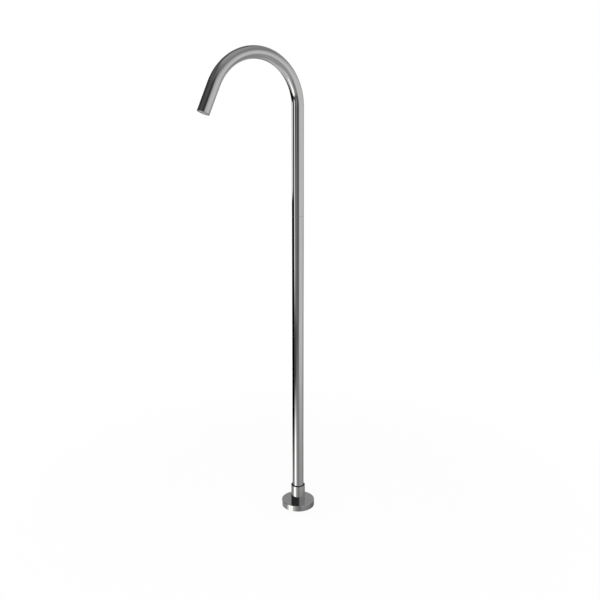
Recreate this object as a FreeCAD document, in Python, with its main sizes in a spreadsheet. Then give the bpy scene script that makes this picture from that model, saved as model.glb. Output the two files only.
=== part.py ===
"""Floor standing bath filler: a swivelling gooseneck column on a floor plate with a loose cover flange.

The origin is on the floor at the column's axis, +Z is up and the outlet points to -Y. Lengths are in
millimetres. The plate is screwed to the floor and takes the supply from below. The column's stem turns in the
plate's socket and is held down by the collar. The cover flange rests on the floor and slides up the column.
"""

import FreeCAD, Part
import math
import os
import Sketcher
from FreeCAD import Placement, Rotation, Vector

# Column and spout
tube_dia = 25.0
tube_wall = 1.5
riser_length = 625.4
spout_straight = 221.0
bend_radius = 105.0
bend_angle = 154.5
outlet_run = 57.0
seam_chamfer = 0.25

# Plate, gasket and inlet
gasket_inset = 1.0
gasket_hole = 29.0
gasket_thick = 2.0
plate_thick = 6.0
plate_chamfer = 0.8
screw_edge = 8.0
screw_hole_dia = 5.5
screw_head_dia = 10.4
screw_head_angle = 90.0
screw_count = 3
inlet_bore = 18.63
inlet_depth = 10.5
relief_dia = 21.6
relief_width = 2.5
web_thick = 3.0
inlet_washer_play = 0.115
inlet_washer_thick = 1.5
waterway_dia = 13.0

# Hub, collar and wiper
hub_rise = 28.0
hub_chamfer = 0.6
socket_dia = 19.0
collar_wall = 1.25
collar_chamfer = 0.35
lip_height = 8.3
wiper_wall = 2.3
wiper_seat = 3.0
wiper_proud = 0.4
wiper_chamfer = 0.3
grub_dia = 4.0
grub_length = 3.0
grub_inset = 0.2
grub_height = 16.0
grub_key = 2.0
grub_key_depth = 1.5

# Stem, its washers and seals
stem_flange_reach = 1.2
stem_flange_play = 0.65
stem_flange_thick = 3.0
stem_plug_length = 16.0
stem_chamfer = 0.8
slip_washer_thick = 1.0
seal_groove_width = 2.2
seal_groove_depth = 1.5
seal_offset = 3.0
seal_pitch = 6.5
seal_width = 1.9
seal_bevel = 0.45

# Joint of riser and spout tube
bush_length = 20.0
joint_bush_wall = 2.35
joint_thread_length = 9.0
joint_step = 0.65
joint_spigot_length = 8.0
joint_waterway_dia = 11.0
nipple_plug_length = 14.0
joint_seal_offset = 2.4

# Outlet and aerator
outlet_bush_length = 12.0
outlet_bush_wall = 1.7
aerator_wall = 1.2
aerator_length = 8.0
aerator_inset = 0.3
aerator_lip = 0.7
aerator_lip_thick = 1.2
key_notch_width = 1.4
key_notch_depth = 0.8
key_notch_reach = 0.6
key_notch_count = 8
aerator_seal_thick = 1.4
aerator_seal_reach = 1.75
former_thick = 3.2
former_rim = 0.7
cell_width = 1.5
cell_web = 0.4
screen_thick = 0.5
screen_rise = 2.0
screen_crown_dia = 7.0
screen_hole_dia = 1.2
screen_rim = 1.2
screen_hole_circle = 4.4
screen_hole_count = 6

# Cover flange
cover_dia = 73.0
cover_boss_gap = 0.5
cover_wall = 1.6
cover_room = 1.9
cover_rounding = 0.7
cover_boss_wall = 3.4
cover_boss_drop = 5.0
cover_groove_depth = 1.6
cover_groove_width = 2.1
cover_groove_drop = 1.6

# Clearances
swivel_fit = 0.05
column_fit = 0.08
cover_fit = 0.1
assembly_fit = 0.05
end_float = 0.1
spigot_gap = 1.0
seal_fit = 0.03

doc = FreeCAD.newDocument("bath_filler")
sheet = doc.addObject("Spreadsheet::Sheet", "sizes")


class Size:
    """A length, angle or count: the expression that features are bound to, and the value it has."""

    def __init__(self, text, number):
        self.text = text
        self.number = number

    def __add__(self, other):
        return Size(f"({self.text} + {other.text})", self.number + other.number)

    def __sub__(self, other):
        return Size(f"({self.text} - {other.text})", self.number - other.number)

    def __rsub__(self, whole):
        return Size(f"({whole} - {self.text})", whole - self.number)

    def __mul__(self, other):
        return Size(f"({self.text} * {other.text})", self.number * other.number)

    def __truediv__(self, count):
        return Size(f"({self.text} / {count})", self.number / count)

    def __neg__(self):
        return Size(f"(-{self.text})", -self.number)


def cosine(angle):
    return Size(f"cos({angle.text})", math.cos(math.radians(angle.number)))


def sine(angle):
    return Size(f"sin({angle.text})", math.sin(math.radians(angle.number)))


def write_cells(numbers):
    """Gives each size a cell of the sheet, with its name as alias, and returns what features are bound to."""
    bound = {}
    for row, (name, number) in enumerate(numbers.items(), 1):
        sheet.set(f"A{row}", name.replace("_", " "))
        sheet.set(f"B{row}", str(number))
        sheet.setAlias(f"B{row}", name)
        bound[name] = Size(f"sizes.{name}", number)
    return bound


# From here on each name above stands for its cell
globals().update(write_cells({name: size for name, size in globals().items() if type(size) in (int, float)}))
zero = Size("0", 0.0)
doc.recompute()

# Heights of the stack above the floor
plate_top = gasket_thick + plate_thick
hub_top = plate_top + hub_rise
socket_floor = gasket_thick + inlet_depth + relief_width + web_thick
stem_foot = socket_floor + spigot_gap
flange_foot = hub_top + slip_washer_thick + end_float
riser_foot = flange_foot + stem_flange_thick
upper_washer_foot = riser_foot + end_float
lip_foot = upper_washer_foot + slip_washer_thick
collar_top = lip_foot + lip_height
seam_height = riser_foot + riser_length
spigot_length = flange_foot - stem_foot
cover_height = plate_top + cover_boss_gap + cover_boss_drop

# Where the seals lie
groove_middle = seal_groove_width / 2
lower_seal_height = stem_foot + seal_offset + groove_middle
upper_seal_height = lower_seal_height + seal_pitch
nipple_foot = seam_height - joint_thread_length - joint_spigot_length
joint_seal_height = nipple_foot + joint_seal_offset + groove_middle
cover_seal_height = cover_height - cover_groove_drop - cover_groove_width / 2

# Radii outwards from the column's axis
tube_radius = tube_dia / 2
bore_radius = tube_radius - tube_wall
plug_radius = bore_radius - assembly_fit
waterway_radius = waterway_dia / 2
socket_radius = socket_dia / 2
spigot_radius = socket_radius - swivel_fit
column_bore_radius = tube_radius + column_fit
wiper_radius = tube_radius + wiper_wall
stem_flange_radius = tube_radius + stem_flange_reach
collar_bore_radius = stem_flange_radius + stem_flange_play
collar_radius = collar_bore_radius + collar_wall
hub_radius = collar_bore_radius - assembly_fit
cover_bore_radius = collar_radius + cover_fit

# Radii inwards from the cover flange's rim
cover_radius = cover_dia / 2
plate_radius = cover_radius - cover_wall - cover_room
gasket_radius = plate_radius - gasket_inset
screw_circle_radius = plate_radius - screw_edge
screw_hole_radius = screw_hole_dia / 2

# Radii inwards from the tube's bore
joint_thread_radius = plug_radius - joint_bush_wall
joint_spigot_radius = joint_thread_radius - joint_step
joint_waterway_radius = joint_waterway_dia / 2
aerator_radius = plug_radius - outlet_bush_wall
aerator_bore_radius = aerator_radius - aerator_wall
aerator_seal_radius = aerator_radius - aerator_seal_reach

# The inlet and the grub screw
inlet_radius = inlet_bore / 2
inlet_washer_radius = inlet_radius - inlet_washer_play
grub_hole_radius = grub_dia / 2 + assembly_fit
grub_face = collar_radius - grub_inset
grub_tip = grub_face - grub_length

# The outlet's centre and how far its axis leans from the column's
outlet_lean = 180 - bend_angle
outlet_reach = bend_radius * (1 - cosine(bend_angle)) + outlet_run * sine(bend_angle)
bend_foot = seam_height + spout_straight
outlet_height = bend_foot + bend_radius * sine(bend_angle) + outlet_run * cosine(bend_angle)


def new_body(name, height=zero):
    """An empty body for one sub-part, raised to its height on the column's axis."""
    body = doc.addObject("PartDesign::Body", name)
    body.Label = name
    body.setExpression("Placement.Base.z", height.text)
    return body


def new_outlet_body(name, inset=zero):
    """An empty body whose own Z axis runs up into the outlet, from the outlet's face or inset from it."""
    body = doc.addObject("PartDesign::Body", name)
    body.Label = name
    place_at_outlet(body, inset)
    return body


def place_at_outlet(piece, inset):
    piece.Placement = Placement(Vector(), Rotation(Vector(-1, 0, 0), outlet_lean.number))
    piece.setExpression("Placement.Rotation.Angle", outlet_lean.text)
    piece.setExpression("Placement.Base.y", (inset * sine(outlet_lean) - outlet_reach).text)
    piece.setExpression("Placement.Base.z", (inset * cosine(outlet_lean) + outlet_height).text)


def new_sketch(body, name, role, level=zero):
    """A sketch on one of the body's own planes, or parallel to it at a level."""
    plane = [feature for feature in body.Origin.OriginFeatures if feature.Role == role][0]
    sketch = body.newObject("Sketcher::SketchObject", f"{body.Name}_{name}")
    sketch.AttachmentSupport = [(plane, "")]
    sketch.MapMode = "FlatFace"
    sketch.setExpression("AttachmentOffset.Base.z", level.text)
    return sketch


def bind(sketch, kind, places, size):
    """Adds a constraint with a size and binds it to the sheet."""
    index = sketch.addConstraint(Sketcher.Constraint(kind, *places, size.number))
    sketch.setExpression(f"Constraints[{index}]", size.text)


def outline(sketch, corners):
    """A closed outline whose corners are pairs of sizes, across and up from the sketch's origin."""
    points = [Vector(across.number, up.number, 0) for across, up in corners]
    count = len(points)
    for index in range(count):
        sketch.addGeometry(Part.LineSegment(points[index], points[(index + 1) % count]))
    for index in range(count):
        sketch.addConstraint(Sketcher.Constraint("Coincident", index, 2, (index + 1) % count, 1))
    for index, (across, up) in enumerate(corners):
        bind(sketch, "DistanceX", (-1, 1, index, 1), across)
        bind(sketch, "DistanceY", (-1, 1, index, 1), up)


def circle(sketch, radius, across=zero, up=zero):
    """A circle in a sketch, placed from the sketch's origin."""
    place = Vector(across.number, up.number, 0)
    index = sketch.addGeometry(Part.Circle(place, Vector(0, 0, 1), radius.number))
    bind(sketch, "Radius", (index,), radius)
    bind(sketch, "DistanceX", (-1, 1, index, 3), across)
    bind(sketch, "DistanceY", (-1, 1, index, 3), up)


def turned(body, corners):
    """Turns an outline of radius and height pairs round the body's Z axis."""
    sketch = new_sketch(body, "outline", "XZ_Plane")
    outline(sketch, corners)
    turning = body.newObject("PartDesign::Revolution", f"{body.Name}_turning")
    turning.Profile = sketch
    turning.ReferenceAxis = (sketch, ["V_Axis"])
    turning.Angle = 360
    return turning


def ring_corners(inner, outer, foot, head):
    return [(inner, foot), (outer, foot), (outer, head), (inner, head)]


def pattern(body, feature, count):
    """Repeats a feature evenly round the body's Z axis."""
    axis = [item for item in body.Origin.OriginFeatures if item.Role == "Z_Axis"][0]
    copies = body.newObject("PartDesign::PolarPattern", f"{feature.Name}_pattern")
    copies.Originals = [feature]
    copies.Axis = (axis, [""])
    copies.Angle = 360
    copies.setExpression("Occurrences", count.text)
    body.Tip = copies
    return copies


def through_hole(body, name, radius, offset):
    """A hole right through the body, parallel to its Z axis and offset to the back."""
    sketch = new_sketch(body, name, "XY_Plane")
    circle(sketch, radius, zero, offset)
    hole = body.newObject("PartDesign::Pocket", f"{body.Name}_{name}_cut")
    hole.Profile = sketch
    hole.Type = "ThroughAll"
    hole.Midplane = True
    return hole


def ring_edge(body, radius, height):
    """The name of the body's circular edge of that radius at that height."""
    doc.recompute()
    near = 1e-4
    for index, edge in enumerate(body.Tip.Shape.Edges):
        curve = edge.Curve
        if not isinstance(curve, Part.Circle):
            continue
        if abs(curve.Radius - radius.number) < near and abs(curve.Center.z - height.number) < near:
            return f"Edge{index + 1}"
    raise ValueError(f"{body.Label} has no such edge")


def round_edge(body, radius, height, rounding):
    name = ring_edge(body, radius, height)
    fillet = body.newObject("PartDesign::Fillet", f"{body.Name}_rounding")
    fillet.Base = (fillet.BaseFeature, [name])
    fillet.setExpression("Radius", rounding.text)


def bevel_edge(body, radius, height, bevel):
    name = ring_edge(body, radius, height)
    chamfer = body.newObject("PartDesign::Chamfer", f"{body.Name}_bevel")
    chamfer.Base = (chamfer.BaseFeature, [name])
    chamfer.setExpression("Size", bevel.text)


def make_seal(name, inner, outer, height):
    """A rubber ring squeezed between two radii, its middle at a height, clear of both by the seals' fit."""
    body = new_body(name, height - seal_width / 2)
    inside = inner + seal_fit
    outside = outer - seal_fit
    turned(
        body,
        [
            (inside + seal_bevel, zero),
            (outside - seal_bevel, zero),
            (outside, seal_bevel),
            (outside, seal_width - seal_bevel),
            (outside - seal_bevel, seal_width),
            (inside + seal_bevel, seal_width),
            (inside, seal_width - seal_bevel),
            (inside, seal_bevel),
        ],
    )
    return body


def grooved(outer, depth, foot, width):
    """The corners of a groove in an outer wall, going up."""
    return [
        (outer, foot),
        (outer - depth, foot),
        (outer - depth, foot + width),
        (outer, foot + width),
    ]


def make_floor_gasket():
    body = new_body("floor_gasket")
    turned(body, ring_corners(gasket_hole / 2, gasket_radius, zero, gasket_thick))
    hole = through_hole(body, "screw_hole", screw_hole_radius, screw_circle_radius)
    pattern(body, hole, screw_count)
    return body


def make_floor_plate():
    """Plate and hub in one turning: threaded inlet below, stem socket above, a web between them."""
    body = new_body("floor_plate", gasket_thick)
    hub_head = plate_thick + hub_rise
    relief_head = inlet_depth + relief_width
    floor = relief_head + web_thick
    turned(
        body,
        [
            (inlet_radius, zero),
            (plate_radius, zero),
            (plate_radius, plate_thick - plate_chamfer),
            (plate_radius - plate_chamfer, plate_thick),
            (hub_radius, plate_thick),
            (hub_radius, hub_head - hub_chamfer),
            (hub_radius - hub_chamfer, hub_head),
            (socket_radius + stem_chamfer, hub_head),
            (socket_radius, hub_head - stem_chamfer),
            (socket_radius, floor),
            (waterway_radius, floor),
            (waterway_radius, relief_head),
            (relief_dia / 2, relief_head),
            (relief_dia / 2, inlet_depth),
            (inlet_radius, inlet_depth),
        ],
    )
    centre = new_sketch(body, "screw_centre", "XY_Plane", plate_thick)
    circle(centre, screw_hole_radius, zero, screw_circle_radius)
    doc.recompute()
    hole = body.newObject("PartDesign::Hole", "floor_plate_screw_hole")
    hole.Profile = centre
    doc.recompute()
    hole.DepthType = "ThroughAll"
    hole.HoleCutType = "Countersink"
    hole.setExpression("Diameter", screw_hole_dia.text)
    hole.setExpression("HoleCutDiameter", screw_head_dia.text)
    hole.setExpression("HoleCutCountersinkAngle", screw_head_angle.text)
    pattern(body, hole, screw_count)
    grub_hole(body, plate_thick + grub_height, hub_radius, hub_radius - grub_tip + assembly_fit)
    return body


def grub_hole(body, height, start, depth):
    """The grub screw's hole, from the back of the body towards its axis."""
    sketch = new_sketch(body, "grub_hole", "XZ_Plane", -start)
    circle(sketch, grub_hole_radius, zero, height)
    hole = body.newObject("PartDesign::Pocket", f"{body.Name}_grub_hole_cut")
    hole.Profile = sketch
    hole.Reversed = True
    hole.setExpression("Length", depth.text)


def make_inlet_washer():
    foot = gasket_thick + inlet_depth + relief_width - inlet_washer_thick
    body = new_body("inlet_washer", foot)
    turned(body, ring_corners(waterway_radius, inlet_washer_radius, zero, inlet_washer_thick))
    return body


def make_collar():
    """Sleeve screwed down over the hub: its lip holds the stem's flange and seats the wiper ring."""
    body = new_body("collar", plate_top)
    head = collar_top - plate_top
    lip = lip_foot - plate_top
    turned(
        body,
        [
            (collar_bore_radius, zero),
            (collar_radius - collar_chamfer, zero),
            (collar_radius, collar_chamfer),
            (collar_radius, head - collar_chamfer),
            (collar_radius - collar_chamfer, head),
            (wiper_radius, head),
            (wiper_radius, head - wiper_seat),
            (column_bore_radius, head - wiper_seat),
            (column_bore_radius, lip),
            (collar_bore_radius, lip),
        ],
    )
    wall = collar_radius - collar_bore_radius
    grub_hole(body, grub_height, collar_radius, wall + grub_dia / 2)
    return body


def make_grub_screw():
    """Headless screw across the back of the collar, its hexagon socket facing outwards."""
    body = new_body("collar_grub_screw", plate_top + grub_height)
    body.Placement = Placement(body.Placement.Base, Rotation(Vector(-1, 0, 0), 90))
    body.setExpression("Placement.Base.y", grub_tip.text)
    turned(
        body,
        [
            (zero, zero),
            (grub_dia / 4, zero),
            (grub_dia / 2, grub_dia / 4),
            (grub_dia / 2, grub_length),
            (zero, grub_length),
        ],
    )
    sketch = new_sketch(body, "key_socket", "XY_Plane", grub_length)
    corner_radius = grub_key.number / math.sqrt(3)
    corners = [
        Vector(corner_radius * math.cos(turn), corner_radius * math.sin(turn), 0)
        for turn in [math.pi / 3 * side for side in range(6)]
    ]
    for side in range(6):
        sketch.addGeometry(Part.LineSegment(corners[side], corners[(side + 1) % 6]))
    rim = sketch.addGeometry(Part.Circle(Vector(), Vector(0, 0, 1), corner_radius), True)
    for side in range(6):
        sketch.addConstraint(Sketcher.Constraint("Coincident", side, 2, (side + 1) % 6, 1))
        sketch.addConstraint(Sketcher.Constraint("PointOnObject", side, 1, rim))
    for side in range(1, 6):
        sketch.addConstraint(Sketcher.Constraint("Equal", 0, side))
    sketch.addConstraint(Sketcher.Constraint("Coincident", rim, 3, -1, 1))
    sketch.addConstraint(Sketcher.Constraint("PointOnObject", 0, 1, -1))
    bind(sketch, "Radius", (rim,), Size(f"({grub_key.text} / sqrt(3))", corner_radius))
    socket = body.newObject("PartDesign::Pocket", "collar_grub_screw_key_cut")
    socket.Profile = sketch
    socket.setExpression("Length", grub_key_depth.text)
    return body


def make_wiper_ring():
    """Black ring in the collar's top that keeps dirt out of the swivel."""
    body = new_body("wiper_ring", collar_top - wiper_seat)
    head = wiper_seat + wiper_proud
    outer = wiper_radius - assembly_fit
    turned(
        body,
        [
            (column_bore_radius, zero),
            (outer, zero),
            (outer, head - wiper_chamfer),
            (outer - wiper_chamfer, head),
            (column_bore_radius, head),
        ],
    )
    return body


def make_slip_washer(name, foot, inner):
    body = new_body(name, foot)
    turned(body, ring_corners(inner, stem_flange_radius, zero, slip_washer_thick))
    return body


def make_cover_flange():
    """Hollow cup over the plate, with a boss round its bore that holds the gripping ring."""
    body = new_body("cover_flange")
    rim_inner = cover_radius - cover_wall
    underside = cover_height - cover_wall
    groove_head = cover_height - cover_groove_drop
    groove_foot = groove_head - cover_groove_width
    groove_radius = cover_bore_radius + cover_groove_depth
    boss_radius = cover_bore_radius + cover_boss_wall
    boss_foot = cover_height - cover_boss_drop
    turned(
        body,
        [
            (rim_inner, zero),
            (cover_radius, zero),
            (cover_radius, cover_height),
            (cover_bore_radius, cover_height),
            (cover_bore_radius, groove_head),
            (groove_radius, groove_head),
            (groove_radius, groove_foot),
            (cover_bore_radius, groove_foot),
            (cover_bore_radius, boss_foot),
            (boss_radius, boss_foot),
            (boss_radius, underside),
            (rim_inner, underside),
        ],
    )
    round_edge(body, cover_radius, cover_height, cover_rounding)
    return body


def make_swivel_stem():
    """Turned stem: sealed spigot below, thrust flange, and the plug brazed into the riser above."""
    body = new_body("swivel_stem", stem_foot)
    flange_head = spigot_length + stem_flange_thick
    head = flange_head + stem_plug_length
    turned(
        body,
        [
            (waterway_radius, zero),
            (spigot_radius - stem_chamfer, zero),
            (spigot_radius, stem_chamfer),
            *grooved(spigot_radius, seal_groove_depth, seal_offset, seal_groove_width),
            *grooved(spigot_radius, seal_groove_depth, seal_offset + seal_pitch, seal_groove_width),
            (spigot_radius, spigot_length),
            (stem_flange_radius, spigot_length),
            (stem_flange_radius, flange_head),
            (plug_radius, flange_head),
            (plug_radius, head - stem_chamfer),
            (plug_radius - stem_chamfer, head),
            (waterway_radius, head),
        ],
    )
    return body


def make_riser_tube():
    """Straight drawn tube from the stem's flange to the seam, its top edge broken by a fine bevel."""
    body = new_body("riser_tube", riser_foot)
    sketch = new_sketch(body, "section", "XY_Plane")
    circle(sketch, tube_radius)
    circle(sketch, bore_radius)
    tube = body.newObject("PartDesign::Pad", "riser_tube_drawing")
    tube.Profile = sketch
    tube.setExpression("Length", riser_length.text)
    bevel_edge(body, tube_radius, riser_length, seam_chamfer)
    return body


def make_joint_bush():
    """Bush brazed flush into the riser's top: thread above, sealing bore below."""
    body = new_body("joint_bush", seam_height - bush_length)
    thread_foot = bush_length - joint_thread_length
    thread_bore = joint_thread_radius + assembly_fit
    seal_bore = joint_spigot_radius + assembly_fit
    turned(
        body,
        [
            (seal_bore, zero),
            (plug_radius, zero),
            (plug_radius, bush_length),
            (thread_bore, bush_length),
            (thread_bore, thread_foot),
            (seal_bore, thread_foot),
        ],
    )
    return body


def make_joint_nipple():
    """Nipple brazed into the spout tube's foot: it screws into the bush and seals below the thread."""
    body = new_body("joint_nipple", nipple_foot)
    thread_head = joint_spigot_length + joint_thread_length
    head = thread_head + nipple_plug_length
    turned(
        body,
        [
            (joint_waterway_radius, zero),
            (joint_spigot_radius - hub_chamfer, zero),
            (joint_spigot_radius, hub_chamfer),
            *grooved(joint_spigot_radius, seal_groove_depth, joint_seal_offset, seal_groove_width),
            (joint_spigot_radius, joint_spigot_length),
            (joint_thread_radius, joint_spigot_length),
            (joint_thread_radius, thread_head),
            (plug_radius, thread_head),
            (plug_radius, head - stem_chamfer),
            (plug_radius - stem_chamfer, head),
            (joint_waterway_radius, head),
        ],
    )
    return body


def make_spout_tube():
    """One bent tube from the seam to the outlet: straight, round the bend, and a short straight run."""
    body = new_body("spout_tube", seam_height)
    route = new_sketch(body, "route", "YZ_Plane")
    straight_head = Vector(0, spout_straight.number, 0)
    turn = math.radians(bend_angle.number)
    centre = Vector(-bend_radius.number, spout_straight.number, 0)
    bend_end = centre + Vector(math.cos(turn), math.sin(turn), 0) * bend_radius.number
    run = Vector(-math.sin(turn), math.cos(turn), 0) * outlet_run.number
    bend = Part.Circle(centre, Vector(0, 0, 1), bend_radius.number)
    route.addGeometry(Part.LineSegment(Vector(), straight_head))
    route.addGeometry(Part.ArcOfCircle(bend, 0, turn))
    route.addGeometry(Part.LineSegment(bend_end, bend_end + run))
    route.addConstraint(Sketcher.Constraint("Coincident", 0, 1, -1, 1))
    route.addConstraint(Sketcher.Constraint("Vertical", 0))
    route.addConstraint(Sketcher.Constraint("Tangent", 0, 2, 1, 1))
    route.addConstraint(Sketcher.Constraint("Tangent", 1, 2, 2, 1))
    bind(route, "Distance", (0,), spout_straight)
    bind(route, "Radius", (1,), bend_radius)
    bind_angle(route, 1, bend_angle)
    bind(route, "Distance", (2,), outlet_run)
    section = new_sketch(body, "section", "XY_Plane")
    circle(section, tube_radius)
    circle(section, bore_radius)
    tube = body.newObject("PartDesign::AdditivePipe", "spout_tube_bending")
    tube.Profile = section
    tube.Spine = (route, ["Edge1", "Edge2", "Edge3"])
    bevel_edge(body, tube_radius, zero, seam_chamfer)
    return body


def bind_angle(sketch, arc, angle):
    """Sets how far an arc turns, in degrees."""
    index = sketch.addConstraint(Sketcher.Constraint("Angle", arc, math.radians(angle.number)))
    sketch.setExpression(f"Constraints[{index}]", f"{angle.text} * 1 deg")


def make_outlet_bush():
    """Ring brazed flush into the outlet: threaded for the aerator, with a shoulder for its washer."""
    body = new_outlet_body("outlet_bush")
    thread_bore = aerator_radius + assembly_fit
    seat = aerator_inset + aerator_length + aerator_seal_thick
    turned(
        body,
        [
            (thread_bore, zero),
            (plug_radius, zero),
            (plug_radius, outlet_bush_length),
            (aerator_seal_radius, outlet_bush_length),
            (aerator_seal_radius, seat),
            (thread_bore, seat),
        ],
    )
    return body


def make_aerator_housing():
    """Threaded shell with an inner lip below; notches in the lip take the key that turns it."""
    body = new_outlet_body("aerator_housing", aerator_inset)
    lip_radius = aerator_bore_radius - aerator_lip
    turned(
        body,
        [
            (lip_radius, zero),
            (aerator_radius, zero),
            (aerator_radius, aerator_length),
            (aerator_bore_radius, aerator_length),
            (aerator_bore_radius, aerator_lip_thick),
            (lip_radius, aerator_lip_thick),
        ],
    )
    notch = new_sketch(body, "key_notch", "XY_Plane")
    inner = lip_radius - key_notch_width / 2
    outer = aerator_bore_radius + key_notch_reach
    half_width = key_notch_width / 2
    outline(
        notch,
        [(inner, -half_width), (outer, -half_width), (outer, half_width), (inner, half_width)],
    )
    cut = body.newObject("PartDesign::Pocket", "aerator_housing_key_notch_cut")
    cut.Profile = notch
    cut.Reversed = True
    cut.setExpression("Length", key_notch_depth.text)
    pattern(body, cut, key_notch_count)
    return body


def make_jet_former():
    """Moulded honeycomb disc: hexagonal cells at a steady pitch, as many as fit inside its plain rim."""
    width = sheet.get("cell_width")
    pitch = width + sheet.get("cell_web")
    thick = sheet.get("former_thick")
    radius = (aerator_bore_radius - assembly_fit).number
    corner = width / math.sqrt(3)
    reach = radius - sheet.get("former_rim") - corner
    rows = int(reach / pitch) + 1
    cells = []
    for row in range(-2 * rows, 2 * rows + 1):
        for column in range(-2 * rows, 2 * rows + 1):
            centre = Vector(pitch * (column + row / 2), pitch * row * math.sqrt(3) / 2, 0)
            if centre.Length > reach:
                continue
            ring = [
                centre + Vector(math.sin(side * math.pi / 3), math.cos(side * math.pi / 3), 0) * corner
                for side in range(7)
            ]
            cells.append(Part.Face(Part.makePolygon(ring)).extrude(Vector(0, 0, thick)))
    piece = doc.addObject("Part::Feature", "jet_former")
    piece.Label = "jet_former"
    piece.Shape = Part.makeCylinder(radius, thick).cut(cells)
    place_at_outlet(piece, aerator_inset + aerator_lip_thick)
    return piece


def make_flow_screen():
    """Pressed dome above the honeycomb: a flat rim, a sloping side and a crown pierced by round holes."""
    body = new_outlet_body("flow_screen", aerator_inset + aerator_lip_thick + former_thick)
    outer = aerator_bore_radius - assembly_fit
    slope_foot = outer - screen_rim
    crown = screen_crown_dia / 2
    turned(
        body,
        [
            (zero, screen_rise),
            (crown, screen_rise),
            (slope_foot, zero),
            (outer, zero),
            (outer, screen_thick),
            (slope_foot, screen_thick),
            (crown, screen_rise + screen_thick),
            (zero, screen_rise + screen_thick),
        ],
    )
    hole = through_hole(body, "hole", screen_hole_dia / 2, screen_hole_circle / 2)
    pattern(body, hole, screen_hole_count)
    return body


def make_aerator_seal():
    body = new_outlet_body("aerator_seal", aerator_inset + aerator_length)
    turned(body, ring_corners(aerator_seal_radius, aerator_radius, zero, aerator_seal_thick))
    return body


subparts = [
    make_floor_gasket(),
    make_floor_plate(),
    make_inlet_washer(),
    make_collar(),
    make_grub_screw(),
    make_wiper_ring(),
    make_slip_washer("lower_slip_washer", hub_top, socket_radius + stem_chamfer),
    make_slip_washer("upper_slip_washer", upper_washer_foot, column_bore_radius),
    make_cover_flange(),
    make_seal("cover_oring", collar_radius, cover_bore_radius + cover_groove_depth, cover_seal_height),
    make_swivel_stem(),
    make_seal("lower_stem_oring", spigot_radius - seal_groove_depth, socket_radius, lower_seal_height),
    make_seal("upper_stem_oring", spigot_radius - seal_groove_depth, socket_radius, upper_seal_height),
    make_riser_tube(),
    make_joint_bush(),
    make_joint_nipple(),
    make_seal(
        "joint_oring",
        joint_spigot_radius - seal_groove_depth,
        joint_spigot_radius + assembly_fit,
        joint_seal_height,
    ),
    make_spout_tube(),
    make_outlet_bush(),
    make_aerator_housing(),
    make_jet_former(),
    make_flow_screen(),
    make_aerator_seal(),
]

doc.recompute()
for item in doc.Objects:
    if "Invalid" in item.State or "Error" in item.State:
        raise ValueError(f"{item.Name} did not build: {item.State}")
for subpart in subparts:
    if subpart.Shape.isNull() or not subpart.Shape.isValid():
        raise ValueError(f"{subpart.Label} has no sound shape")

os.makedirs("parts", exist_ok=True)
for subpart in subparts:
    subpart.Shape.exportStep(f"parts/{subpart.Label}.step")
    print(f"{subpart.Label}: {len(subpart.Shape.Solids)} solid, {subpart.Shape.Volume:.1f} mm3")
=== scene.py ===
"""Floor standing bath filler: the dressed model and its plain studio, in metres, in the frame of the solids."""
import bpy
import math
import numpy as np
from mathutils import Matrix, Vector


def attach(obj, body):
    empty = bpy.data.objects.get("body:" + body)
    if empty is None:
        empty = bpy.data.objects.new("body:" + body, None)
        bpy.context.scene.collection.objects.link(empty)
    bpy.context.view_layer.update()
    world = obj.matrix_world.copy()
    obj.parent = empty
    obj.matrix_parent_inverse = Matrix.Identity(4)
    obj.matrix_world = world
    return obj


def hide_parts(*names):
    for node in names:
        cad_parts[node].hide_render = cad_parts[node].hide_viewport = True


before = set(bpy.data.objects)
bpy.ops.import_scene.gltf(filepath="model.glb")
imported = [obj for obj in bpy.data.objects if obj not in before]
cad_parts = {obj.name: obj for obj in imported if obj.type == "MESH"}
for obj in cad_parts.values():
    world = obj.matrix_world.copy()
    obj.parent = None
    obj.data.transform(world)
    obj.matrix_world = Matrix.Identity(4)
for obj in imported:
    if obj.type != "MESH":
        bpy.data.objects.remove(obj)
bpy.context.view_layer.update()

# --- Camera -------------------------------------------------------------------------------------------------
# A 50 mm lens 1.73 m from the column and level with the bend, looking down 15 degrees. It stands on the
# outlet's side, so that the arch opens to the left.
camera_turn = math.radians(51.857)
camera_distance = 1.729
camera_height = 0.9386
camera_pitch = math.radians(14.761)
camera_pan = -0.00254


def add_object(name, data):
    """An object in the scene that shows a camera, a lamp or a mesh."""
    piece = bpy.data.objects.new(name, data)
    bpy.context.collection.objects.link(piece)
    return piece


camera_data = bpy.data.cameras.new("camera")
camera_data.lens = 50.0
camera_data.sensor_width = 36.0
camera = add_object("camera", camera_data)
camera.location = (
    camera_distance * math.sin(camera_turn),
    -camera_distance * math.cos(camera_turn),
    camera_height,
)
camera.rotation_euler = (math.pi / 2 - camera_pitch, 0.0, camera_turn + camera_pan)
bpy.context.scene.camera = camera
bpy.context.scene.view_settings.view_transform = "Standard"


# --- Studio: floor, daylight and lamp -----------------------------------------------------------------------
# White paper on the floor, even daylight all round and one large soft lamp above. The camera and clear things
# see the paper and the room as plain white, metal sees the studio shell below in their place, and the paper
# keeps the object's own soft shadow.
def add_node(tree, kind, inputs=None, **settings):
    """Adds a node: inputs holds values or the sockets that feed it, settings its own options."""
    node = tree.nodes.new(kind)
    for name, value in settings.items():
        setattr(node, name, value)
    for name, value in (inputs or {}).items():
        if isinstance(value, bpy.types.NodeSocket):
            tree.links.new(value, node.inputs[name])
        else:
            node.inputs[name].default_value = value
    return node


def linear(code):
    """The linear colour of an sRGB hex code."""
    parts = [int(code[place : place + 2], 16) / 255 for place in (1, 3, 5)]
    return [part / 12.92 if part <= 0.04045 else ((part + 0.055) / 1.055) ** 2.4 for part in parts] + [1.0]


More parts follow.
